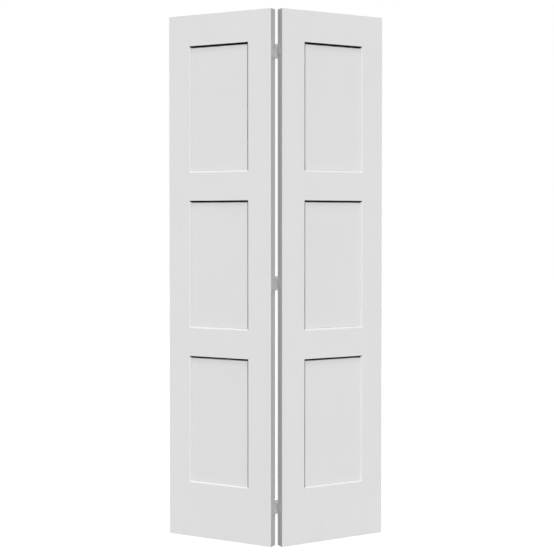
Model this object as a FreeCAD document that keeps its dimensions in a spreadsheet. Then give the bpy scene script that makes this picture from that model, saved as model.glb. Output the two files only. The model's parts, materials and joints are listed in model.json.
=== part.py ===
import FreeCAD
import Part
import math
import os
import Sketcher
from FreeCAD import Placement, Rotation, Vector

# Bifold closet door: two stile-and-rail leaves joined by three non-mortise hinges.
#
# Frame of the whole door, in millimetres: +Z up, the room side faces -Y, +X to the right as seen
# from the room. The origin is the centre of the footprint of the part-folded door, on the floor.
#
# Frame of a leaf: every piece of a leaf is drawn flat, as if the door were closed, with the hinge
# pin as its Z axis and the floor at Z = 0. A point of a leaf is given by
#   across: its distance from the pin along the leaf, towards the leaf's free edge,
#   deep:   its distance from the pin towards the room.
# The leaf's Placement then turns it about the pin to the resting fold.

SIZES = {
    # Leaf
    "leaf_height": 2006.6,
    "leaf_width": 449.0,
    "leaf_thickness": 34.9,
    "edge_radius": 1.5,             # eased long edges of the stiles
    "fold_angle": 29.15,            # each leaf's turn from the closed door, in degrees
    # Frame members and openings, measured on the face; the top opening takes what is left
    "outer_stile_width": 90.5,
    "hinge_stile_width": 97.0,
    "bottom_rail_height": 209.0,
    "bottom_opening_height": 489.0,
    "middle_rail_height": 108.0,
    "middle_opening_height": 490.0,
    "top_rail_height": 118.0,
    # Sticking: the sloped edge between a face and the panel, and the groove behind it
    "sticking_run": 6.0,
    "panel_recess": 6.0,            # from the frame's faces to the panel's
    "groove_depth": 10.0,
    "tenon_end_clearance": 0.5,
    # Flat panels, with a thinner tongue all round for the grooves
    "tongue_thickness": 12.7,
    "tongue_face_clearance": 0.15,
    "tongue_end_clearance": 1.5,
    "panel_side_clearance": 0.6,    # between a panel's thick field and the sticking
    "panel_top_clearance": 2.0,     # the same at its top, as the panel sits low in its opening
    # Loose tenons glued across the shoulders of the rails
    "loose_tenon_thickness": 8.0,
    "loose_tenon_length": 80.0,
    "loose_tenon_inset": 25.0,      # from a rail's face edges, and between two tenons
    "mortise_clearance": 0.1,       # on a loose tenon's faces and edges
    "mortise_end_clearance": 1.5,
    # Holes for the pivots and the track guide, in the ends of the two outer stiles
    "pivot_hole_diameter": 9.5,
    "pivot_hole_depth": 32.0,
    "pivot_hole_inset": 22.0,       # from the leaf's free edge
    # Hinges: the inner plate, on the lead leaf, closes into a window of the outer plate
    "hinge_height": 54.0,
    "top_hinge_drop": 155.0,        # from the leaf's top to the hinge's middle
    "middle_hinge_height": 985.0,   # from the floor
    "bottom_hinge_height": 144.0,
    "closed_gap": 3.0,              # between the two leaves of the closed door
    "plate_thickness": 1.8,
    "plate_width": 28.0,            # on the leaf's edge, from its closet-side face
    "plate_corner_radius": 3.0,
    "window_width": 20.0,           # in the outer plate, from the leaf's closet-side face
    "window_clearance": 0.6,        # around the inner plate
    "end_knuckle_height": 12.0,
    "knuckle_gap": 0.3,
    "pin_diameter": 5.0,
    "pin_clearance": 0.05,
    "barrel_standoff": 1.5,         # between the barrel and the leaf's closet-side face
    # Countersunk wood screws of the hinges, two in each plate
    "screw_diameter": 3.4,
    "screw_length": 19.0,           # below the plate
    "screw_clearance": 0.05,
    "screw_head_sink": 0.1,
    "pilot_hole_end_clearance": 1.0,
    "outer_screw_depth": 16.0,      # in the outer plate, from the leaf's closet-side face
    "inner_screw_depth": 11.0,      # in the inner plate
    "inner_screw_spacing": 15.0,
}

COUNTERSINK_ANGLE = 90.0
RAIL_TENON_COUNT = 1                # loose tenons at each end of a rail
BOTTOM_RAIL_TENON_COUNT = 2

SIDES = {"pivot_leaf": -1, "lead_leaf": 1}      # which way each leaf lies from the pin
OUTER_STILES = {"pivot_leaf": "jamb_stile", "lead_leaf": "guide_stile"}

# Across the leaf, from the pin
EDGE = "(Sizes.closed_gap / 2)"
PLATE_FACE = f"({EDGE} - Sizes.plate_thickness)"
FREE_EDGE = f"({EDGE} + Sizes.leaf_width)"
HINGE_LIP = f"({EDGE} + Sizes.hinge_stile_width)"
OUTER_LIP = f"({FREE_EDGE} - Sizes.outer_stile_width)"
HINGE_NOSE = f"({HINGE_LIP} + Sizes.sticking_run)"
OUTER_NOSE = f"({OUTER_LIP} - Sizes.sticking_run)"
HINGE_GROOVE = f"({HINGE_NOSE} - Sizes.groove_depth)"
OUTER_GROOVE = f"({OUTER_NOSE} + Sizes.groove_depth)"
PIVOT_HOLE = f"({FREE_EDGE} - Sizes.pivot_hole_inset)"

# Deep, from the pin towards the room
BARREL_RADIUS = "(Sizes.pin_diameter / 2 + Sizes.pin_clearance + Sizes.plate_thickness)"
BACK = f"({BARREL_RADIUS} + Sizes.barrel_standoff)"
MIDDLE = f"({BACK} + Sizes.leaf_thickness / 2)"
FRONT = f"({BACK} + Sizes.leaf_thickness)"
PANEL_BACK = f"({BACK} + Sizes.panel_recess)"
PANEL_FRONT = f"({FRONT} - Sizes.panel_recess)"
GROOVE_HALF = "(Sizes.tongue_thickness / 2 + Sizes.tongue_face_clearance)"
GROOVE_NEAR = f"({MIDDLE} - {GROOVE_HALF})"
GROOVE_FAR = f"({MIDDLE} + {GROOVE_HALF})"
PLATE_END = f"({BACK} + Sizes.plate_width)"
WINDOW_END = f"({BACK} + Sizes.window_width)"
INNER_PLATE_END = f"({WINDOW_END} - Sizes.window_clearance)"

# Heights
LOWER_RAIL = "(Sizes.bottom_rail_height + Sizes.bottom_opening_height)"
MIDDLE_OPENING = f"({LOWER_RAIL} + Sizes.middle_rail_height)"
UPPER_RAIL = f"({MIDDLE_OPENING} + Sizes.middle_opening_height)"
TOP_OPENING = f"({UPPER_RAIL} + Sizes.middle_rail_height)"
TOP_RAIL = "(Sizes.leaf_height - Sizes.top_rail_height)"
WINDOW_HEIGHT = "(Sizes.hinge_height - 2 * Sizes.end_knuckle_height)"
INNER_PLATE_HEIGHT = f"({WINDOW_HEIGHT} - 2 * Sizes.knuckle_gap)"

SCREW_HOLE = "(Sizes.screw_diameter / 2 + Sizes.screw_clearance)"      # radius

# Each rail's lower face edge, its face height, and the loose tenons at each of its ends
RAILS = {
    "bottom_rail": ("0", "Sizes.bottom_rail_height", BOTTOM_RAIL_TENON_COUNT),
    "lower_rail": (LOWER_RAIL, "Sizes.middle_rail_height", RAIL_TENON_COUNT),
    "upper_rail": (UPPER_RAIL, "Sizes.middle_rail_height", RAIL_TENON_COUNT),
    "top_rail": (TOP_RAIL, "Sizes.top_rail_height", RAIL_TENON_COUNT),
}
# Lower and upper face edges of each panel's opening
PANELS = {
    "bottom_panel": ("Sizes.bottom_rail_height", LOWER_RAIL),
    "middle_panel": (MIDDLE_OPENING, UPPER_RAIL),
    "top_panel": (TOP_OPENING, TOP_RAIL),
}
# Middle of each hinge
HINGES = {
    "top_hinge": "(Sizes.leaf_height - Sizes.top_hinge_drop)",
    "middle_hinge": "Sizes.middle_hinge_height",
    "bottom_hinge": "Sizes.bottom_hinge_height",
}

# Place of the pin, so that the footprint of the folded door is centred on the origin
PIN_Y = (f"(((2 * {BACK} + Sizes.leaf_thickness) * cos(Sizes.fold_angle * 1 deg)"
         f" - (2 * {EDGE} + Sizes.leaf_width) * sin(Sizes.fold_angle * 1 deg)) / 2)")

doc = FreeCAD.newDocument("BifoldDoor")
sheet = doc.addObject("Spreadsheet::Sheet", "Sizes")


# ---------------------------------------------------------------- helpers

def fill_sheet():
    """Give every driving size a cell of the sheet, with its name as alias."""
    for row, (name, size) in enumerate(SIZES.items(), start=1):
        sheet.set(f"A{row}", name)
        sheet.set(f"B{row}", str(size))
        sheet.setAlias(f"B{row}", name)
    doc.recompute()


def number(expression):
    """Value of an expression of the sheet, as a plain number."""
    result = sheet.evalExpression(expression)
    return float(getattr(result, "Value", result))


def new_body(label, several=False):
    """Body of one sub-part; several allows a group of separate solids."""
    body = doc.addObject("PartDesign::Body", label)
    body.Label = label
    body.AllowCompound = several
    return body


def new_sketch(body, plane, offset="0"):
    """Sketch on one of the body's origin planes, moved along the plane's normal."""
    sketch = body.newObject("Sketcher::SketchObject", "Sketch")
    origin = [item for item in body.Origin.OriginFeatures if item.Role == plane][0]
    sketch.AttachmentSupport = [(origin, "")]
    sketch.MapMode = "FlatFace"
    sketch.setExpression("AttachmentOffset.Base.z", offset)
    return sketch


def bind(sketch, rule, expression):
    """Add a dimension to a sketch and drive it by an expression."""
    sketch.setExpression(f"Constraints[{sketch.addConstraint(rule)}]", expression)


def place(sketch, item, point, x_text=None, y_text=None):
    """Drive a point's distances from the sketch origin by expressions."""
    for kind, text in (("DistanceX", x_text), ("DistanceY", y_text)):
        if text is not None:
            bind(sketch, Sketcher.Constraint(kind, -1, 1, item, point, number(text)), text)


def draw_outline(sketch, corners):
    """Closed outline of straight lines through corners given as pairs of expressions."""
    spots = [Vector(number(x_text), number(y_text), 0) for x_text, y_text in corners]
    first = sketch.GeometryCount
    for spot, following in zip(spots, spots[1:] + spots[:1]):
        sketch.addGeometry(Part.LineSegment(spot, following), False)
    for index, (x_text, y_text) in enumerate(corners):
        line = first + index
        before = first + (index - 1) % len(corners)
        sketch.addConstraint(Sketcher.Constraint("Coincident", before, 2, line, 1))
        x_before, y_before = corners[index - 1]
        if x_text == x_before:
            sketch.addConstraint(Sketcher.Constraint("Vertical", before))
            place(sketch, line, 1, y_text=y_text)
        elif y_text == y_before:
            sketch.addConstraint(Sketcher.Constraint("Horizontal", before))
            place(sketch, line, 1, x_text=x_text)
        else:
            place(sketch, line, 1, x_text, y_text)


def draw_circle(sketch, x_text, y_text, radius):
    centre = Vector(number(x_text), number(y_text), 0)
    item = sketch.addGeometry(Part.Circle(centre, Vector(0, 0, 1), number(radius)), False)
    place(sketch, item, 3, x_text, y_text)
    bind(sketch, Sketcher.Constraint("Radius", item, number(radius)), radius)


def pad(body, sketch, length, midplane=False):
    """Extrude a sketch along its normal, or half each way."""
    feature = body.newObject("PartDesign::Pad", "Pad")
    feature.Profile = sketch
    feature.setExpression("Length", length)
    feature.Midplane = midplane
    doc.recompute()
    return feature


def cut(body, sketch, depth=None, along_normal=False):
    """Pocket a sketch to a depth, or right through both ways where no depth is given."""
    solid = body.Shape.Volume
    feature = body.newObject("PartDesign::Pocket", "Pocket")
    feature.Profile = sketch
    if depth is None:
        feature.Type = "ThroughAll"
        feature.Midplane = True
    else:
        feature.setExpression("Length", depth)
        feature.Reversed = along_normal
    doc.recompute()
    if feature.Shape.Volume >= solid:
        raise ValueError(f"{body.Label}: {feature.Name} cuts nothing")
    return feature


def edges_at(feature, x=None, y=None, z=None):
    """Names of the edges whose ends all lie at the given coordinates."""
    wanted = [(axis, value) for axis, value in enumerate((x, y, z)) if value is not None]
    names = []
    for index, edge in enumerate(feature.Shape.Edges, start=1):
        ends = [vertex.Point for vertex in edge.Vertexes]
        if all(math.isclose(end[axis], value, abs_tol=1e-4) for end in ends for axis, value in wanted):
            names.append(f"Edge{index}")
    return names


def fillet(body, base, edges, radius):
    """Round the named edges of a feature."""
    feature = body.newObject("PartDesign::Fillet", "Fillet")
    feature.Base = (base, edges)
    feature.setExpression("Radius", radius)
    doc.recompute()


def hang(body, side):
    """Turn a piece of a leaf about the pin, from the closed door to the resting fold."""
    body.Placement = Placement(Vector(), Rotation(Vector(0, 0, 1), side))
    body.setExpression("Placement.Base.y", PIN_Y)
    body.setExpression("Placement.Rotation.Angle", f"{side} * Sizes.fold_angle")


# ---------------------------------------------------------------- stiles, rails and panels

def tenon_spans(rail):
    """Lower and upper edges of the loose tenons at each end of a rail."""
    low, height, count = RAILS[rail]
    width = f"(({height} - {count + 1} * Sizes.loose_tenon_inset) / {count})"
    edges = [f"({low} + {index + 1} * Sizes.loose_tenon_inset + {index} * {width})"
             for index in range(count)]
    return [(edge, f"({edge} + {width})") for edge in edges]


def draw_tenons(sketch, rail, clearance="0"):
    """Sections of the loose tenons at an end of a rail, with a clearance all round."""
    half = f"(Sizes.loose_tenon_thickness / 2 + {clearance})"
    near, far = f"-({MIDDLE} - {half})", f"-({MIDDLE} + {half})"
    for lower, upper in tenon_spans(rail):
        bottom, top = f"({lower} - {clearance})", f"({upper} + {clearance})"
        draw_outline(sketch, [(far, bottom), (near, bottom), (near, top), (far, top)])


def cut_mortises(body, side, start, depth, rails, outwards):
    """Mortises along the leaf, from a plane across it, outwards to its free edge or inwards."""
    sketch = new_sketch(body, "YZ_Plane", f"{side} * {start}")
    for rail in rails:
        draw_tenons(sketch, rail, "Sizes.mortise_clearance")
    cut(body, sketch, depth, along_normal=(side > 0) == outwards)


def make_stile(leaf, name, outer, lip, inward):
    """Upright with sloped sticking and a panel groove along its inner edge.

    outer and lip are the edges of its face; inward is 1 where the panels lie further from the
    pin than the stile, else -1.
    """
    side = SIDES[leaf]
    body = new_body(f"{leaf}_{name}")
    nose = f"({lip} + {inward} * Sizes.sticking_run)"
    groove = f"({nose} - {inward} * Sizes.groove_depth)"
    section = [
        (outer, BACK), (outer, FRONT), (lip, FRONT), (nose, PANEL_FRONT), (nose, GROOVE_FAR),
        (groove, GROOVE_FAR), (groove, GROOVE_NEAR), (nose, GROOVE_NEAR), (nose, PANEL_BACK),
        (lip, BACK),
    ]
    sketch = new_sketch(body, "XY_Plane")
    draw_outline(sketch, [(f"{side} * {across}", f"-{deep}") for across, deep in section])
    blank = pad(body, sketch, "Sizes.leaf_height")
    long_edges = [edge for face in (BACK, FRONT)
                  for edge in edges_at(blank, x=side * number(outer), y=-number(face))]
    fillet(body, blank, long_edges, "Sizes.edge_radius")
    depth = "(Sizes.sticking_run + Sizes.loose_tenon_length / 2 + Sizes.mortise_end_clearance)"
    cut_mortises(body, side, nose, depth, RAILS, outwards=inward < 0)
    hang(body, side)
    return body


def sticking(lip, away):
    """Section of a rail's panel edge, from the closet side to the room side.

    lip is the height of its face edge; away is 1 where the panel lies above, else -1.
    """
    nose = f"({lip} + {away} * Sizes.sticking_run)"
    groove = f"({nose} - {away} * Sizes.groove_depth)"
    return [(BACK, lip), (PANEL_BACK, nose), (GROOVE_NEAR, nose), (GROOVE_NEAR, groove),
            (GROOVE_FAR, groove), (GROOVE_FAR, nose), (PANEL_FRONT, nose), (FRONT, lip)]


def cope_ends(body, side, tip_a, tip_b):
    """Cut a rail's ends to fit over the stiles' sticking, and leave the stub tenons."""
    sketch = new_sketch(body, "XY_Plane")
    for tip, nose, lip in ((tip_a, HINGE_NOSE, HINGE_LIP), (tip_b, OUTER_NOSE, OUTER_LIP)):
        for face, panel, sign in ((FRONT, PANEL_FRONT, "+"), (BACK, PANEL_BACK, "-")):
            tenon = f"({MIDDLE} {sign} Sizes.tongue_thickness / 2)"
            waste = [(tip, tenon), (nose, tenon), (nose, panel), (lip, face), (tip, face)]
            draw_outline(sketch, [(f"{side} * {across}", f"-{deep}") for across, deep in waste])
    cut(body, sketch)


def make_rail(leaf, name):
    """Cross member with sticking and groove along its panel edges, and coped ends."""
    side = SIDES[leaf]
    body = new_body(f"{leaf}_{name}")
    low, height, _ = RAILS[name]
    top = f"({low} + {height})"
    lower_edge = [(BACK, low), (FRONT, low)] if name == "bottom_rail" else sticking(low, -1)
    upper_edge = [(BACK, top), (FRONT, top)] if name == "top_rail" else sticking(top, 1)
    section = lower_edge + upper_edge[::-1]
    tip_a = f"({HINGE_GROOVE} + Sizes.tenon_end_clearance)"
    tip_b = f"({OUTER_GROOVE} - Sizes.tenon_end_clearance)"
    sketch = new_sketch(body, "YZ_Plane", tip_a if side > 0 else f"-{tip_b}")
    draw_outline(sketch, [(f"-{deep}", height_text) for deep, height_text in section])
    pad(body, sketch, f"({tip_b} - {tip_a})")
    cope_ends(body, side, tip_a, tip_b)
    depth = ("(Sizes.groove_depth - Sizes.sticking_run + Sizes.loose_tenon_length / 2"
             " + Sizes.mortise_end_clearance)")
    cut_mortises(body, side, HINGE_GROOVE, depth, [name], outwards=True)
    cut_mortises(body, side, OUTER_GROOVE, depth, [name], outwards=False)
    hang(body, side)


def make_panel(leaf, name):
    """Flat panel, with a tongue all round that floats in the grooves of its opening."""
    side = SIDES[leaf]
    body = new_body(f"{leaf}_{name}")
    bottom, top = PANELS[name]
    tongue = "(Sizes.groove_depth - Sizes.sticking_run - Sizes.tongue_end_clearance)"
    field = "(-Sizes.sticking_run - Sizes.panel_side_clearance)"
    field_top = "(-Sizes.sticking_run - Sizes.panel_top_clearance)"
    field_thickness = "(Sizes.leaf_thickness - 2 * Sizes.panel_recess)"
    layers = [(tongue, tongue, "Sizes.tongue_thickness"), (field, field_top, field_thickness)]
    for reach, reach_up, thickness in layers:
        near = f"{side} * ({HINGE_LIP} - {reach})"
        far = f"{side} * ({OUTER_LIP} + {reach})"
        low, high = f"({bottom} - {reach})", f"({top} + {reach_up})"
        sketch = new_sketch(body, "XZ_Plane", MIDDLE)
        draw_outline(sketch, [(near, low), (far, low), (far, high), (near, high)])
        pad(body, sketch, thickness, midplane=True)
    hang(body, side)


def make_loose_tenons(leaf):
    """All the loose tenons of a leaf, centred on the shoulders of its rails."""
    side = SIDES[leaf]
    body = new_body(f"{leaf}_loose_tenons", several=True)
    for shoulder in (HINGE_LIP, OUTER_LIP):
        sketch = new_sketch(body, "YZ_Plane", f"{side} * {shoulder}")
        for rail in RAILS:
            draw_tenons(sketch, rail)
        pad(body, sketch, "Sizes.loose_tenon_length", midplane=True)
    hang(body, side)


def drill_end_hole(body, side, top):
    """Blind hole for a pivot or a guide, in an end of an outer stile."""
    sketch = new_sketch(body, "XY_Plane", "Sizes.leaf_height" if top else "0")
    draw_circle(sketch, f"{side} * {PIVOT_HOLE}", f"-{MIDDLE}", "(Sizes.pivot_hole_diameter / 2)")
    cut(body, sketch, "Sizes.pivot_hole_depth", along_normal=not top)


def make_leaf(leaf):
    """Stiles, rails, panels and loose tenons of a leaf."""
    side = SIDES[leaf]
    outer_stile = make_stile(leaf, OUTER_STILES[leaf], FREE_EDGE, OUTER_LIP, -1)
    drill_end_hole(outer_stile, side, top=True)
    if leaf == "pivot_leaf":
        drill_end_hole(outer_stile, side, top=False)
    hinge_stile = make_stile(leaf, "hinge_stile", EDGE, HINGE_LIP, 1)
    drill_for_screws(hinge_stile, leaf)
    for rail in RAILS:
        make_rail(leaf, rail)
    for panel in PANELS:
        make_panel(leaf, panel)
    make_loose_tenons(leaf)


# ---------------------------------------------------------------- hinges and their screws

def screw_places(hinge, leaf):
    """Depth and height of the two screws that hold a hinge to a leaf."""
    if leaf == "pivot_leaf":
        deep = f"({BACK} + Sizes.outer_screw_depth)"
        reach = "(Sizes.hinge_height - Sizes.end_knuckle_height) / 2"
    else:
        deep = f"({BACK} + Sizes.inner_screw_depth)"
        reach = "Sizes.inner_screw_spacing / 2"
    return [(deep, f"({HINGES[hinge]} {sign} {reach})") for sign in "-+"]


def drill_for_screws(body, leaf):
    """Pilot holes in the edge of a hinge stile."""
    side = SIDES[leaf]
    sketch = new_sketch(body, "YZ_Plane", f"{side} * {EDGE}")
    for hinge in HINGES:
        for deep, height in screw_places(hinge, leaf):
            draw_circle(sketch, f"-{deep}", height, SCREW_HOLE)
    depth = "(Sizes.screw_length + Sizes.pilot_hole_end_clearance)"
    cut(body, sketch, depth, along_normal=side > 0)


def make_screws(leaf):
    """All the hinge screws of a leaf, each turned with a countersunk head."""
    side = SIDES[leaf]
    body = new_body(f"{leaf}_hinge_screws", several=True)
    radius = "(Sizes.screw_diameter / 2)"
    top = f"({PLATE_FACE} + Sizes.screw_head_sink)"
    rim = f"({radius} + Sizes.plate_thickness - Sizes.screw_head_sink)"
    tip = f"({EDGE} + Sizes.screw_length)"
    half_section = [(top, "0"), (top, rim), (EDGE, radius), (tip, radius), (tip, "0")]
    for hinge in HINGES:
        for deep, height in screw_places(hinge, leaf):
            sketch = new_sketch(body, "XY_Plane", height)
            sketch.setExpression("AttachmentOffset.Base.y", f"-{deep}")
            draw_outline(sketch, [(f"{side} * {across}", away) for across, away in half_section])
            turned = body.newObject("PartDesign::Revolution", "Revolution")
            turned.Profile = sketch
            turned.ReferenceAxis = (sketch, ["H_Axis"])
            doc.recompute()
    hang(body, side)


def roll_plate(body, side, low, height, end):
    """Round-cornered plate on a leaf's edge, rolled round the pin over its full height."""
    radius, inner, outer = number(BARREL_RADIUS), number(PLATE_FACE), number(EDGE)
    inner_turn, outer_turn = -math.acos(inner / radius), -math.acos(outer / radius)
    if side > 0:
        start, finish = outer_turn, inner_turn + 2 * math.pi
    else:
        start, finish = -math.pi - inner_turn, math.pi - outer_turn
    sketch = new_sketch(body, "XY_Plane", low)
    ring = Part.Circle(Vector(), Vector(0, 0, 1), radius)
    arc = sketch.addGeometry(Part.ArcOfCircle(ring, start, finish), False)
    corners = [
        Vector(side * outer, radius * math.sin(outer_turn), 0), Vector(side * outer, -number(end), 0),
        Vector(side * inner, -number(end), 0), Vector(side * inner, radius * math.sin(inner_turn), 0),
    ]
    lines = [sketch.addGeometry(Part.LineSegment(a, b), False) for a, b in zip(corners, corners[1:])]
    outer_end, inner_end = (1, 2) if side > 0 else (2, 1)
    sketch.addConstraint([
        Sketcher.Constraint("Coincident", arc, 3, -1, 1),
        Sketcher.Constraint("Coincident", arc, outer_end, lines[0], 1),
        Sketcher.Constraint("Coincident", lines[0], 2, lines[1], 1),
        Sketcher.Constraint("Coincident", lines[1], 2, lines[2], 1),
        Sketcher.Constraint("Coincident", lines[2], 2, arc, inner_end),
        Sketcher.Constraint("Vertical", lines[0]),
        Sketcher.Constraint("Horizontal", lines[1]),
        Sketcher.Constraint("Vertical", lines[2]),
    ])
    bind(sketch, Sketcher.Constraint("Radius", arc, radius), BARREL_RADIUS)
    place(sketch, lines[1], 1, f"{side} * {EDGE}", f"-{end}")
    place(sketch, lines[1], 2, f"{side} * {PLATE_FACE}")
    blank = pad(body, sketch, height)
    corners = [edge for z in (number(low), number(f"{low} + {height}"))
               for edge in edges_at(blank, y=-number(end), z=z)]
    fillet(body, blank, corners, "Sizes.plate_corner_radius")


def cut_window(body, hinge):
    """Room in an outer plate and its barrel for the inner plate."""
    sketch = new_sketch(body, "XY_Plane", f"({HINGES[hinge]} - {WINDOW_HEIGHT} / 2)")
    reach = f"(2 * {BARREL_RADIUS})"
    draw_outline(sketch, [(f"-{reach}", f"-{WINDOW_END}"), (reach, f"-{WINDOW_END}"),
                          (reach, reach), (f"-{reach}", reach)])
    cut(body, sketch, WINDOW_HEIGHT, along_normal=True)


def finish_plate(body, hinge, leaf):
    """Bore a plate's barrel for the pin, and countersink its screw holes right through it."""
    side = SIDES[leaf]
    bore = new_sketch(body, "XY_Plane")
    draw_circle(bore, "0", "0", "(Sizes.pin_diameter / 2 + Sizes.pin_clearance)")
    cut(body, bore)
    sketch = new_sketch(body, "YZ_Plane", f"{side} * {PLATE_FACE}")
    for deep, height in screw_places(hinge, leaf):
        draw_circle(sketch, f"-{deep}", height, SCREW_HOLE)
    solid = body.Shape.Volume
    hole = body.newObject("PartDesign::Hole", "Hole")
    hole.Profile = sketch
    doc.recompute()
    hole.ThreadType = "None"
    hole.DepthType = "ThroughAll"
    hole.HoleCutType = "Countersink"
    hole.HoleCutCustomValues = True
    hole.setExpression("Diameter", f"2 * {SCREW_HOLE}")
    hole.setExpression("HoleCutDiameter", f"2 * ({SCREW_HOLE} + Sizes.plate_thickness)")
    hole.HoleCutCountersinkAngle = COUNTERSINK_ANGLE
    hole.Reversed = side > 0
    doc.recompute()
    if hole.Shape.Volume >= solid:
        raise ValueError(f"{body.Label}: {hole.Name} cuts nothing")
    hang(body, side)


def make_outer_plate(hinge, leaf):
    """Plate with the two end knuckles, and a window between them for the inner plate."""
    low = f"({HINGES[hinge]} - Sizes.hinge_height / 2)"
    body = new_body(f"{hinge}_outer_plate")
    roll_plate(body, SIDES[leaf], low, "Sizes.hinge_height", PLATE_END)
    cut_window(body, hinge)
    finish_plate(body, hinge, leaf)


def make_inner_plate(hinge, leaf):
    """Plate with the middle knuckle, which closes into the outer plate's window."""
    low = f"({HINGES[hinge]} - {INNER_PLATE_HEIGHT} / 2)"
    body = new_body(f"{hinge}_inner_plate")
    roll_plate(body, SIDES[leaf], low, INNER_PLATE_HEIGHT, INNER_PLATE_END)
    finish_plate(body, hinge, leaf)


def make_pin(hinge):
    """Pin along a hinge's barrel, flush with its ends."""
    body = new_body(f"{hinge}_pin")
    sketch = new_sketch(body, "XY_Plane", f"({HINGES[hinge]} - Sizes.hinge_height / 2)")
    draw_circle(sketch, "0", "0", "(Sizes.pin_diameter / 2)")
    pad(body, sketch, "Sizes.hinge_height")
    body.setExpression("Placement.Base.y", PIN_Y)


# ---------------------------------------------------------------- the door

def check_and_export():
    """Write one STEP file for each body, once everything in the document is sound."""
    doc.recompute()
    for item in doc.Objects:
        if "Invalid" in item.State or "Error" in item.State:
            raise ValueError(f"{item.Label} is {item.State}")
    bodies = [item for item in doc.Objects if item.TypeId == "PartDesign::Body"]
    for body in bodies:
        if body.Shape.isNull() or not body.Shape.isValid() or not body.Shape.Solids:
            raise ValueError(f"{body.Label} has no sound solid")
    os.makedirs("parts", exist_ok=True)
    for body in bodies:
        body.Shape.exportStep(f"parts/{body.Label}.step")
        print(body.Label, len(body.Shape.Solids), round(body.Shape.Volume / 1000, 3), "cm3")


fill_sheet()
for leaf_name in SIDES:
    make_leaf(leaf_name)
    make_screws(leaf_name)
for hinge_name in HINGES:
    make_outer_plate(hinge_name, "pivot_leaf")
    make_inner_plate(hinge_name, "lead_leaf")
    make_pin(hinge_name)
check_and_export()
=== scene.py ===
import json
import math

import bmesh
import bpy
from mathutils import Euler, Matrix, Vector


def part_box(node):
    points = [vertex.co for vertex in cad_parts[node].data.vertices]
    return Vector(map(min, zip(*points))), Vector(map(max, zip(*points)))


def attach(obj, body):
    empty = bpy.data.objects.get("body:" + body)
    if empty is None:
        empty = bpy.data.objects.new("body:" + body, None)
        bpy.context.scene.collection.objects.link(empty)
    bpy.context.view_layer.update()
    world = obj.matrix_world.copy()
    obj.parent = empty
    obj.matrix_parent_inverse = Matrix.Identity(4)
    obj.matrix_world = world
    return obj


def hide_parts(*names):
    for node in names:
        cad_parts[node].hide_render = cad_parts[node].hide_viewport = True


# Looks of the bifold closet door: sprayed white leaves, painted hinges, nickel pins and screws.
# Lengths are in metres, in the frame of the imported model: +Z is up, the room side faces -Y.

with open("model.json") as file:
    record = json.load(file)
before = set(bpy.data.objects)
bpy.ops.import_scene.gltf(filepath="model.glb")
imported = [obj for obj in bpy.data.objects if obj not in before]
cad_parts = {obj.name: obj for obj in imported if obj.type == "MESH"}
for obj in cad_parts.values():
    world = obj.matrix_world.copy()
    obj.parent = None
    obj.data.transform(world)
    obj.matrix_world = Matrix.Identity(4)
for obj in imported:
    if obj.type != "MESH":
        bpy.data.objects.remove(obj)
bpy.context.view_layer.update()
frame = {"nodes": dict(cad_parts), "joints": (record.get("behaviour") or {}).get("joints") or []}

# ---------------------------------------------------------------- places read from the frame

FOLD = frame["joints"][0]
PIN = Vector(FOLD["pos_m"])
# The low end of the fold's range is the door closed flat, and each leaf makes half of that turn.
HALF_FOLD = -math.radians(FOLD["range_deg"][0]) / 2
LEAVES = {"pivot_leaf": -1, "lead_leaf": 1}         # the side of the pin, along X
OUTER_STILES = {"pivot_leaf": "jamb_stile", "lead_leaf": "guide_stile"}
UP, DOWN = Vector((0, 0, 1)), Vector((0, 0, -1))
ROOM = Vector((0, -1, 0))
# An outer plate lies on the -X side of the pin, apart from its knuckles.
BARREL_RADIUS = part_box("top_hinge_outer_plate")[1].x - PIN.x
SLACK = 0.00005                                     # room for rounding


def across(leaf):
    """Direction along a leaf, from the pin to its free edge."""
    side = LEAVES[leaf]
    return Vector((side * math.cos(HALF_FOLD), math.sin(HALF_FOLD), 0))


def roomwards(leaf):
    """Direction out of a leaf's room side."""
    side = LEAVES[leaf]
    return Vector((side * math.sin(HALF_FOLD), -math.cos(HALF_FOLD), 0))


# ---------------------------------------------------------------- camera and lights

CAMERA_PLACE = Vector((-0.0655, -4.7841, 1.2236))
CAMERA_YAW = math.radians(0.826)                    # towards +X
CAMERA_DROP = math.radians(1.25)                    # below the horizon
PHOTO_SIDE = 554.0                                  # pixels
FOCAL_PIXELS = 1253.9
AXIS_ROW = 246.93                                   # the photo's row that the lens axis meets
SENSOR = 36.0                                       # millimetres


def make_camera():
    data = bpy.data.cameras.new("camera")
    data.sensor_width = SENSOR
    data.lens = FOCAL_PIXELS / PHOTO_SIDE * SENSOR
    data.shift_y = (AXIS_ROW - PHOTO_SIDE / 2) / PHOTO_SIDE
    camera = bpy.data.objects.new("camera", data)
    camera.location = CAMERA_PLACE
    camera.rotation_euler = Euler((math.pi / 2 - CAMERA_DROP, 0, -CAMERA_YAW))
    bpy.context.scene.collection.objects.link(camera)
    bpy.context.scene.camera = camera


# Suns: the bearing that they shine from, clockwise from the room side as seen from above
# (0 is straight in front, 90 the door's left), their height above the horizon, their strength
# and their apparent width. Angles are in degrees.
SUNS = {
    "key": (-10.5, 18.0, 2.67, 6.0),
    "left_fill": (85.0, 15.0, 0.83, 40.0),
    "top": (0.0, 73.0, 1.3, 12.0),
    "back": (180.0, 35.0, 2.8, 25.0),
}


def make_suns():
    for name, (bearing, height, strength, width) in SUNS.items():
        data = bpy.data.lights.new(name, "SUN")
        data.energy = strength
        data.angle = math.radians(width)
        lamp = bpy.data.objects.new(name, data)
        lamp.rotation_euler = Euler((math.radians(90 - height), 0, -math.radians(bearing)))
        bpy.context.scene.collection.objects.link(lamp)


# ---------------------------------------------------------------- shader nodes

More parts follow.
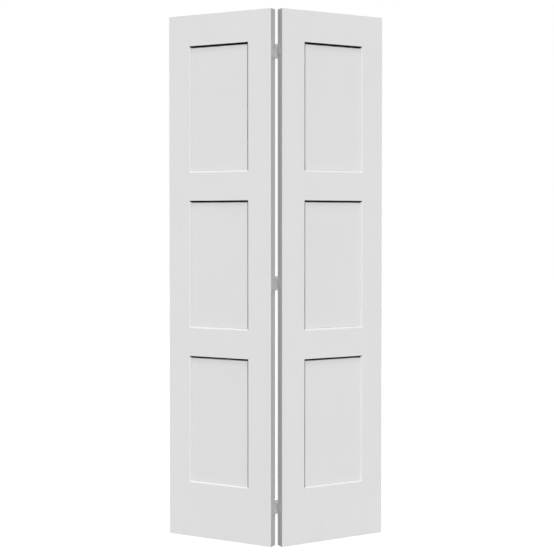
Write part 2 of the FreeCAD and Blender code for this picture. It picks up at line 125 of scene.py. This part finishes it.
def fill(tree, node, inputs):
    """Link each input to the output that is given for it, or set its value."""
    for name, given in inputs.items():
        if isinstance(given, bpy.types.NodeSocket):
            tree.links.new(given, node.inputs[name])
        else:
            node.inputs[name].default_value = given


def add(tree, kind, inputs, **settings):
    """New node with its settings and inputs."""
    node = tree.nodes.new("ShaderNode" + kind)
    for name, value in settings.items():
        setattr(node, name, value)
    fill(tree, node, inputs)
    return node


def seen_directly(tree):
    """Value 1 for rays from the camera and for mirrored and refracted rays, else 0."""
    rays = add(tree, "LightPath", {}).outputs
    value = rays["Is Camera Ray"]
    for name in ("Is Glossy Ray", "Is Transmission Ray"):
        value = add(tree, "Math", {0: value, 1: rays[name]}, operation="MAXIMUM").outputs[0]
    return value


def stretched(tree, place, scale):
    """Coordinates scaled apart along X, Y and Z."""
    return add(tree, "Mapping", {"Vector": place, "Scale": scale}).outputs["Vector"]


def noise(tree, place, scale=1.0, detail=2.0, roughness=0.5):
    inputs = {"Vector": place, "Scale": scale, "Detail": detail, "Roughness": roughness}
    return add(tree, "TexNoise", inputs).outputs["Fac"]


def grey(level):
    return (level, level, level, 1.0)


def mixed(tree, value, low, high):
    """Colour between two colours or outputs, by a value of 0 to 1."""
    inputs = {"Factor": value, "A": low, "B": high}
    return add(tree, "Mix", inputs, data_type="RGBA").outputs["Result"]


def ranged(tree, value, low, high, start=0.0, end=1.0):
    """Carry what lies between start and end over to the range from low to high."""
    inputs = {"Value": value, "From Min": start, "From Max": end, "To Min": low, "To Max": high}
    return add(tree, "MapRange", inputs).outputs["Result"]


def bump(tree, height, depth, below=None):
    """Normal of a relief with this depth, over another relief's normal if one is given."""
    inputs = {"Height": height, "Distance": depth}
    if below is not None:
        inputs["Normal"] = below
    return add(tree, "Bump", inputs).outputs["Normal"]


FACING = 0.8                                        # least cosine between a face and its direction


def facing(tree, direction):
    """Value 1 where the surface faces along a direction, else 0."""
    normal = add(tree, "TexCoord", {}).outputs["Normal"]
    cosine = add(tree, "VectorMath", {0: normal, 1: direction}, operation="DOT_PRODUCT")
    match = add(tree, "Math", {0: cosine.outputs["Value"], 1: FACING}, operation="GREATER_THAN")
    return match.outputs[0]


def new_material(name):
    """Material with one Principled shader, and its tree, shader and object coordinates."""
    material = bpy.data.materials.new(name)
    material.use_nodes = True
    tree = material.node_tree
    place = add(tree, "TexCoord", {}).outputs["Object"]
    return material, tree, tree.nodes["Principled BSDF"], place


# ---------------------------------------------------------------- backdrop and floor

WHITE = grey(1.0)
AMBIENT = 0.12                                      # strength of the light from all round
BACKDROP = 1.0                                      # strength of what is seen there: plain white
FLOOR_HALF = 20.0
FLOOR_PAPER = grey(0.11)
FLOOR_GLOW = 0.92                                   # the floor's white that no shadow dims


def make_world():
    """Soft dim light, with a white backdrop for what is seen directly."""
    world = bpy.data.worlds.new("studio")
    world.use_nodes = True
    tree = world.node_tree
    tree.nodes.clear()
    room = add(tree, "Background", {"Color": WHITE, "Strength": AMBIENT}).outputs[0]
    backdrop = add(tree, "Background", {"Color": WHITE, "Strength": BACKDROP}).outputs[0]
    choice = add(tree, "MixShader", {0: seen_directly(tree), 1: room, 2: backdrop})
    add(tree, "OutputWorld", {"Surface": choice.outputs[0]})
    bpy.context.scene.world = world


def make_floor():
    """Pale floor that keeps the door's shadow."""
    mesh = bpy.data.meshes.new("floor")
    corners = [(-FLOOR_HALF, -FLOOR_HALF, 0), (FLOOR_HALF, -FLOOR_HALF, 0),
               (FLOOR_HALF, FLOOR_HALF, 0), (-FLOOR_HALF, FLOOR_HALF, 0)]
    mesh.from_pydata(corners, [], [(0, 1, 2, 3)])
    floor = bpy.data.objects.new("floor", mesh)
    bpy.context.scene.collection.objects.link(floor)
    material = bpy.data.materials.new("floor_paper")
    material.use_nodes = True
    tree = material.node_tree
    tree.nodes.clear()
    paper = add(tree, "BsdfDiffuse", {"Color": FLOOR_PAPER}).outputs[0]
    level = add(tree, "Math", {0: seen_directly(tree), 1: FLOOR_GLOW}, operation="MULTIPLY")
    glow = add(tree, "Emission", {"Strength": level.outputs[0]}).outputs[0]
    total = add(tree, "AddShader", {0: paper, 1: glow})
    add(tree, "OutputMaterial", {"Surface": total.outputs[0]})
    mesh.materials.append(material)


# ---------------------------------------------------------------- white primer

# A coat is the share of light that it throws back. The coats that faces get by their direction
# are painted light and shade; the near-black sticking is painted shade on the room side alone.
# Scales of noise are in cells per metre.
WHITE_COAT = 0.73
PANEL_COAT = 0.72
EDGE_SHADE_COAT = 0.51                                    # painted shade, on the leaves' edges and ends
STICKING_LIGHT_AND_SHADE = {"pivot_leaf": 0.67, "lead_leaf": 0.75}    # room side of the outer stiles: painted shade on the pivot leaf, painted light on the lead leaf
SILL_SHADE_COAT = 0.68                                    # painted shade on the sticking over each rail
SHADE_COAT = 0.06                                   # sticking on the hinge side of each panel
UNDER_SHADE_COAT = 0.008                                  # painted shade: sticking under each rail, slit over each panel
CLOUDING = 0.015                                    # how far the clouds lift or lower a coat
CLOUD_SCALE, CLOUD_DETAIL = 4.0, 3.0
RUB = 0.014                                         # how much darker hands have rubbed a spot
RUB_POLISH = 0.12                                   # and how much smoother
RUB_SCALE = (9.0, 9.0, 5.0)
RUB_DETAIL, RUB_RAGGED = 5.0, 0.65
RUB_EDGE = (0.60, 0.72)                             # noise from a spot's rim to its middle
PRIMER_GLOSS = 0.06
PEEL_SCALE, PEEL_DEPTH = 420.0, 0.00007
PEEL_ROUGHNESS = (0.50, 0.64)
MARK_SCALE, MARK_DEPTH = (900.0, 900.0, 25.0), 0.00003


def make_primer(name, painted_light_and_shade, coat=WHITE_COAT):
    """Sprayed white primer: faint clouds, rubbed spots, fine orange peel and sanding marks.

    painted_light_and_shade lists the directions that faces with painted light and shade point, and
    the coats that paint it.
    """
    material, tree, shader, place = new_material(name)
    clouds = noise(tree, place, CLOUD_SCALE, detail=CLOUD_DETAIL)
    spots = noise(tree, stretched(tree, place, RUB_SCALE), detail=RUB_DETAIL, roughness=RUB_RAGGED)
    rubs = ranged(tree, spots, 0.0, 1.0, *RUB_EDGE)
    colour = mixed(tree, clouds, grey(coat - CLOUDING), grey(coat + CLOUDING))
    colour = mixed(tree, rubs, colour, grey(coat - RUB))
    # paint light and shade on the faces that point along each direction
    for direction, level in painted_light_and_shade:
        colour = mixed(tree, facing(tree, direction), colour, grey(level))
    peel = noise(tree, place, PEEL_SCALE)
    marks = noise(tree, stretched(tree, place, MARK_SCALE))
    dull = ranged(tree, peel, *PEEL_ROUGHNESS)
    polished = add(tree, "Math", {0: rubs, 1: -RUB_POLISH, 2: dull}, operation="MULTIPLY_ADD")
    sanded = bump(tree, marks, MARK_DEPTH)
    fill(tree, shader, {
        "Base Color": colour,
        "Specular IOR Level": PRIMER_GLOSS,
        "Roughness": polished.outputs[0],
        "Normal": bump(tree, peel, PEEL_DEPTH, sanded),
    })
    return material


def make_primers():
    """Primers, by the end of the names of the nodes that wear them."""
    # painted shade on the leaves' edges and ends
    ends = [(UP, EDGE_SHADE_COAT), (DOWN, EDGE_SHADE_COAT)]
    # painted shade on the sticking over each rail
    sill_shade = ((ROOM + UP).normalized(), SILL_SHADE_COAT)
    # painted shade on the sticking under each rail
    under = [(DOWN, UNDER_SHADE_COAT), ((ROOM + DOWN).normalized(), UNDER_SHADE_COAT)]
    primers = {}
    for leaf, outer_stile in OUTER_STILES.items():
        away, front = across(leaf), roomwards(leaf)
        shade = ((away + front).normalized(), SHADE_COAT)
        # painted shade on the pivot leaf's outer sticking, painted light on the lead leaf's
        sticking = ((front - away).normalized(), STICKING_LIGHT_AND_SHADE[leaf])
        primers[f"{leaf}_hinge_stile"] = make_primer(
            f"{leaf}_hinge_stile_primer", [*ends, (-away, EDGE_SHADE_COAT), shade])
        primers[outer_stile] = make_primer(
            f"{leaf}_outer_stile_primer", [*ends, (away, EDGE_SHADE_COAT), sticking])
    primers["bottom_rail"] = make_primer("bottom_rail_primer", [*ends, sill_shade])
    primers["rail"] = make_primer("rail_primer", [(UP, EDGE_SHADE_COAT), sill_shade, *under])
    # painted shade in the slit over each panel
    primers["panel"] = make_primer("panel_primer", [(UP, UNDER_SHADE_COAT)], PANEL_COAT)
    return primers


# ---------------------------------------------------------------- hinge paint, nickel and beech

# Both plate coats are greyed as painted shade in the fold, the inner plate's darker still.
OUTER_PLATE_SHADE_COAT, INNER_PLATE_SHADE_COAT = 0.52, 0.46
KNUCKLE_SHADE_COAT = 0.36                                 # painted shade on the knuckles
FLATTEN = (1.0, 1.0, 0.0)
PAINT_CLOUDING = 0.02
PAINT_CLOUD_SCALE, PAINT_CLOUD_DETAIL = 150.0, 3.0
PAINT_GLOSS = 0.3
PAINT_ROUGHNESS = (0.45, 0.6)
PAINT_GRAIN_SCALE, PAINT_GRAIN_DEPTH = 1800.0, 0.00001


def make_hinge_paint(name, coat):
    """Matte paint over steel, greyed as painted shade, darkest on the knuckles."""
    material, tree, shader, place = new_material(name)
    clouds = noise(tree, place, PAINT_CLOUD_SCALE, detail=PAINT_CLOUD_DETAIL)
    colour = mixed(tree, clouds, grey(coat - PAINT_CLOUDING), grey(coat + PAINT_CLOUDING))
    # painted shade on the knuckles, within the barrel's radius of the pin
    radius = add(tree, "VectorMath", {0: stretched(tree, place, FLATTEN), 1: (PIN.x, PIN.y, 0.0)},
                 operation="DISTANCE")
    knuckle_shade = add(tree, "Math", {0: radius.outputs["Value"], 1: BARREL_RADIUS + SLACK},
                  operation="LESS_THAN")
    grain = noise(tree, place, PAINT_GRAIN_SCALE)
    fill(tree, shader, {
        "Base Color": mixed(tree, knuckle_shade.outputs[0], colour, grey(KNUCKLE_SHADE_COAT)),
        "Specular IOR Level": PAINT_GLOSS,
        "Roughness": ranged(tree, clouds, *PAINT_ROUGHNESS),
        "Normal": bump(tree, grain, PAINT_GRAIN_DEPTH),
    })
    return material


PIN_TONE, SCREW_TONE = (0.70, 0.70, 0.69), (0.66, 0.66, 0.65)
NICKEL_CLOUDING = 0.93                              # the darkest cloud's share of the tone
NICKEL_CLOUD_SCALE = 180.0
NICKEL_ROUGHNESS = (0.36, 0.48)
LINE_SCALE, LINE_DEPTH = (9000.0, 9000.0, 300.0), 0.00001


def make_nickel(name, tone):
    """Satin nickel plate: clouded polish and fine upright lines."""
    material, tree, shader, place = new_material(name)
    lines = noise(tree, stretched(tree, place, LINE_SCALE))
    clouds = noise(tree, place, NICKEL_CLOUD_SCALE)
    dark = tuple(NICKEL_CLOUDING * part for part in tone)
    fill(tree, shader, {
        "Metallic": 1.0,
        "Base Color": mixed(tree, clouds, (*dark, 1.0), (*tone, 1.0)),
        "Roughness": ranged(tree, clouds, *NICKEL_ROUGHNESS),
        "Normal": bump(tree, lines, LINE_DEPTH),
    })
    return material


BEECH_DARK, BEECH_LIGHT = (0.50, 0.33, 0.18, 1.0), (0.72, 0.53, 0.33, 1.0)
BAND_SCALE, BAND_DETAIL = (40.0, 40.0, 400.0), 4.0
FLECK_SCALE, FLECK_DEPTH = (300.0, 300.0, 2500.0), 0.00005
BEECH_ROUGHNESS = (0.55, 0.8)


def make_beech():
    """Raw beech: growth bands along the tenons and short flecks."""
    material, tree, shader, place = new_material("beech")
    bands = noise(tree, stretched(tree, place, BAND_SCALE), detail=BAND_DETAIL)
    flecks = noise(tree, stretched(tree, place, FLECK_SCALE))
    fill(tree, shader, {
        "Base Color": mixed(tree, bands, BEECH_DARK, BEECH_LIGHT),
        "Roughness": ranged(tree, flecks, *BEECH_ROUGHNESS),
        "Normal": bump(tree, flecks, FLECK_DEPTH),
    })
    return material


def finish_nodes(finishes):
    """Give each CAD node the first finish whose key ends its name."""
    for name, node in frame["nodes"].items():
        ending = next(ending for ending in finishes if name.endswith(ending))
        node.data.materials.clear()
        node.data.materials.append(finishes[ending])


# ---------------------------------------------------------------- hinge screws

WELD = 0.000001
SIDES = 36                                          # of a turned shape
RIM = 0.0001                                        # chamfer round a screw's head
POINT, POINT_RADIUS = 0.003, 0.0003                 # length of a screw's point, radius of its tip
RECESS_TOP = (0.0019, 0.0004)                       # reach and half width of the recess's arms
RECESS_FLOOR = (0.0010, 0.00022)
RECESS_DEPTH = 0.0013
TURN = 0.83                                         # radians, from one screw's recess to the next
SHARP = math.radians(30)                            # edges from this angle up stay sharp


def solids_of(node):
    """Corner points of each separate solid of a node."""
    shape = bmesh.new()
    shape.from_mesh(frame["nodes"][node].data)
    bmesh.ops.remove_doubles(shape, verts=shape.verts, dist=WELD)
    solids = []
    for first in shape.verts:
        if first.tag:
            continue
        first.tag = True
        solid = [first]
        for corner in solid:
            for edge in corner.link_edges:
                beside = edge.other_vert(corner)
                if not beside.tag:
                    beside.tag = True
                    solid.append(beside)
        solids.append([corner.co.copy() for corner in solid])
    shape.free()
    return solids


def ring(shape, radius, height):
    """Corners of a circle round Z."""
    corners = []
    for step in range(SIDES):
        turn = 2 * math.pi * step / SIDES
        corners.append(shape.verts.new((radius * math.cos(turn), radius * math.sin(turn), height)))
    return corners


def cross(shape, size, height):
    """Corners of a crossed recess, anticlockwise from its first arm."""
    reach, half = size
    arm = [(reach, -half), (reach, half), (half, half)]
    corners = []
    for quarter in range(4):
        for x, y in arm:
            for _ in range(quarter):
                x, y = -y, x
            corners.append(shape.verts.new((x, y, height)))
    return corners


def wall(shape, upper, lower):
    """Faces between two outlines with as many corners."""
    for step, (high, low) in enumerate(zip(upper, lower)):
        shape.faces.new((high, low, lower[step - 1], upper[step - 1]))


def turned_screw(head, shank, length, turn):
    """Countersunk screw along Z, given the radii of its head and shank, with its top at 0.

    Its point is down, and its crossed recess is turned by an angle.
    """
    shape = bmesh.new()
    outline = [(head - RIM, 0.0), (head, -RIM), (shank, shank - head),
               (shank, POINT - length), (POINT_RADIUS, -length)]
    rings = [ring(shape, radius, height) for radius, height in outline]
    for upper, lower in zip(rings, rings[1:]):
        wall(shape, upper, lower)
    shape.faces.new(rings[-1])
    mouth = cross(shape, RECESS_TOP, 0.0)
    floor = cross(shape, RECESS_FLOOR, -RECESS_DEPTH)
    wall(shape, mouth, floor)
    shape.faces.new(floor)
    rims = [shape.edges.get((loop[step - 1], corner))
            for loop in (rings[0], mouth) for step, corner in enumerate(loop)]
    bmesh.ops.triangle_fill(shape, edges=rims, use_beauty=True)
    bmesh.ops.recalc_face_normals(shape, faces=shape.faces)
    bmesh.ops.rotate(shape, verts=shape.verts, matrix=Matrix.Rotation(turn, 3, "Z"))
    return shape


def place_screw(corners, inwards, turn, into):
    """Add a screw to a shape, in the place and size of the plain solid with these corners."""
    centre = sum(corners, Vector()) / len(corners)
    depths = [(corner - centre).dot(inwards) for corner in corners]
    radii = [(corner - centre - depth * inwards).length for corner, depth in zip(corners, depths)]
    top, tip = min(depths), max(depths)
    shank = max(radius for radius, depth in zip(radii, depths) if depth > tip - WELD)
    screw = turned_screw(max(radii), shank, tip - top, turn)
    aim = (-inwards).to_track_quat("Z", "Y").to_matrix().to_4x4()
    screw.transform(Matrix.Translation(centre + top * inwards) @ aim)
    mesh = bpy.data.meshes.new("screw")
    screw.to_mesh(mesh)
    screw.free()
    into.from_mesh(mesh)
    bpy.data.meshes.remove(mesh)


def make_screws(leaf, finish):
    """Recessed screws in place of a leaf's plain ones."""
    node = f"{leaf}_hinge_screws"
    shape = bmesh.new()
    for step, corners in enumerate(solids_of(node)):
        place_screw(corners, across(leaf), step * TURN, shape)
    for edge in shape.edges:
        edge.smooth = edge.calc_face_angle(0.0) < SHARP
    for face in shape.faces:
        face.smooth = True
    mesh = bpy.data.meshes.new(f"{leaf}_recessed_screws")
    shape.to_mesh(mesh)
    shape.free()
    mesh.materials.append(finish)
    screws = bpy.data.objects.new(f"{leaf}_recessed_screws", mesh)
    bpy.context.scene.collection.objects.link(screws)
    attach(screws, leaf)
    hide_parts(node)


# ---------------------------------------------------------------- the scene

bpy.context.scene.view_settings.view_transform = "Standard"
make_camera()
make_suns()
make_world()
make_floor()
screw_nickel = make_nickel("screw_nickel", SCREW_TONE)
finish_nodes({
    **make_primers(),
    "outer_plate": make_hinge_paint("outer_plate_paint", OUTER_PLATE_SHADE_COAT),
    "inner_plate": make_hinge_paint("inner_plate_paint", INNER_PLATE_SHADE_COAT),
    "pin": make_nickel("pin_nickel", PIN_TONE),
    "hinge_screws": screw_nickel,
    "loose_tenons": make_beech(),
})
for leaf in LEAVES:
    make_screws(leaf, screw_nickel)
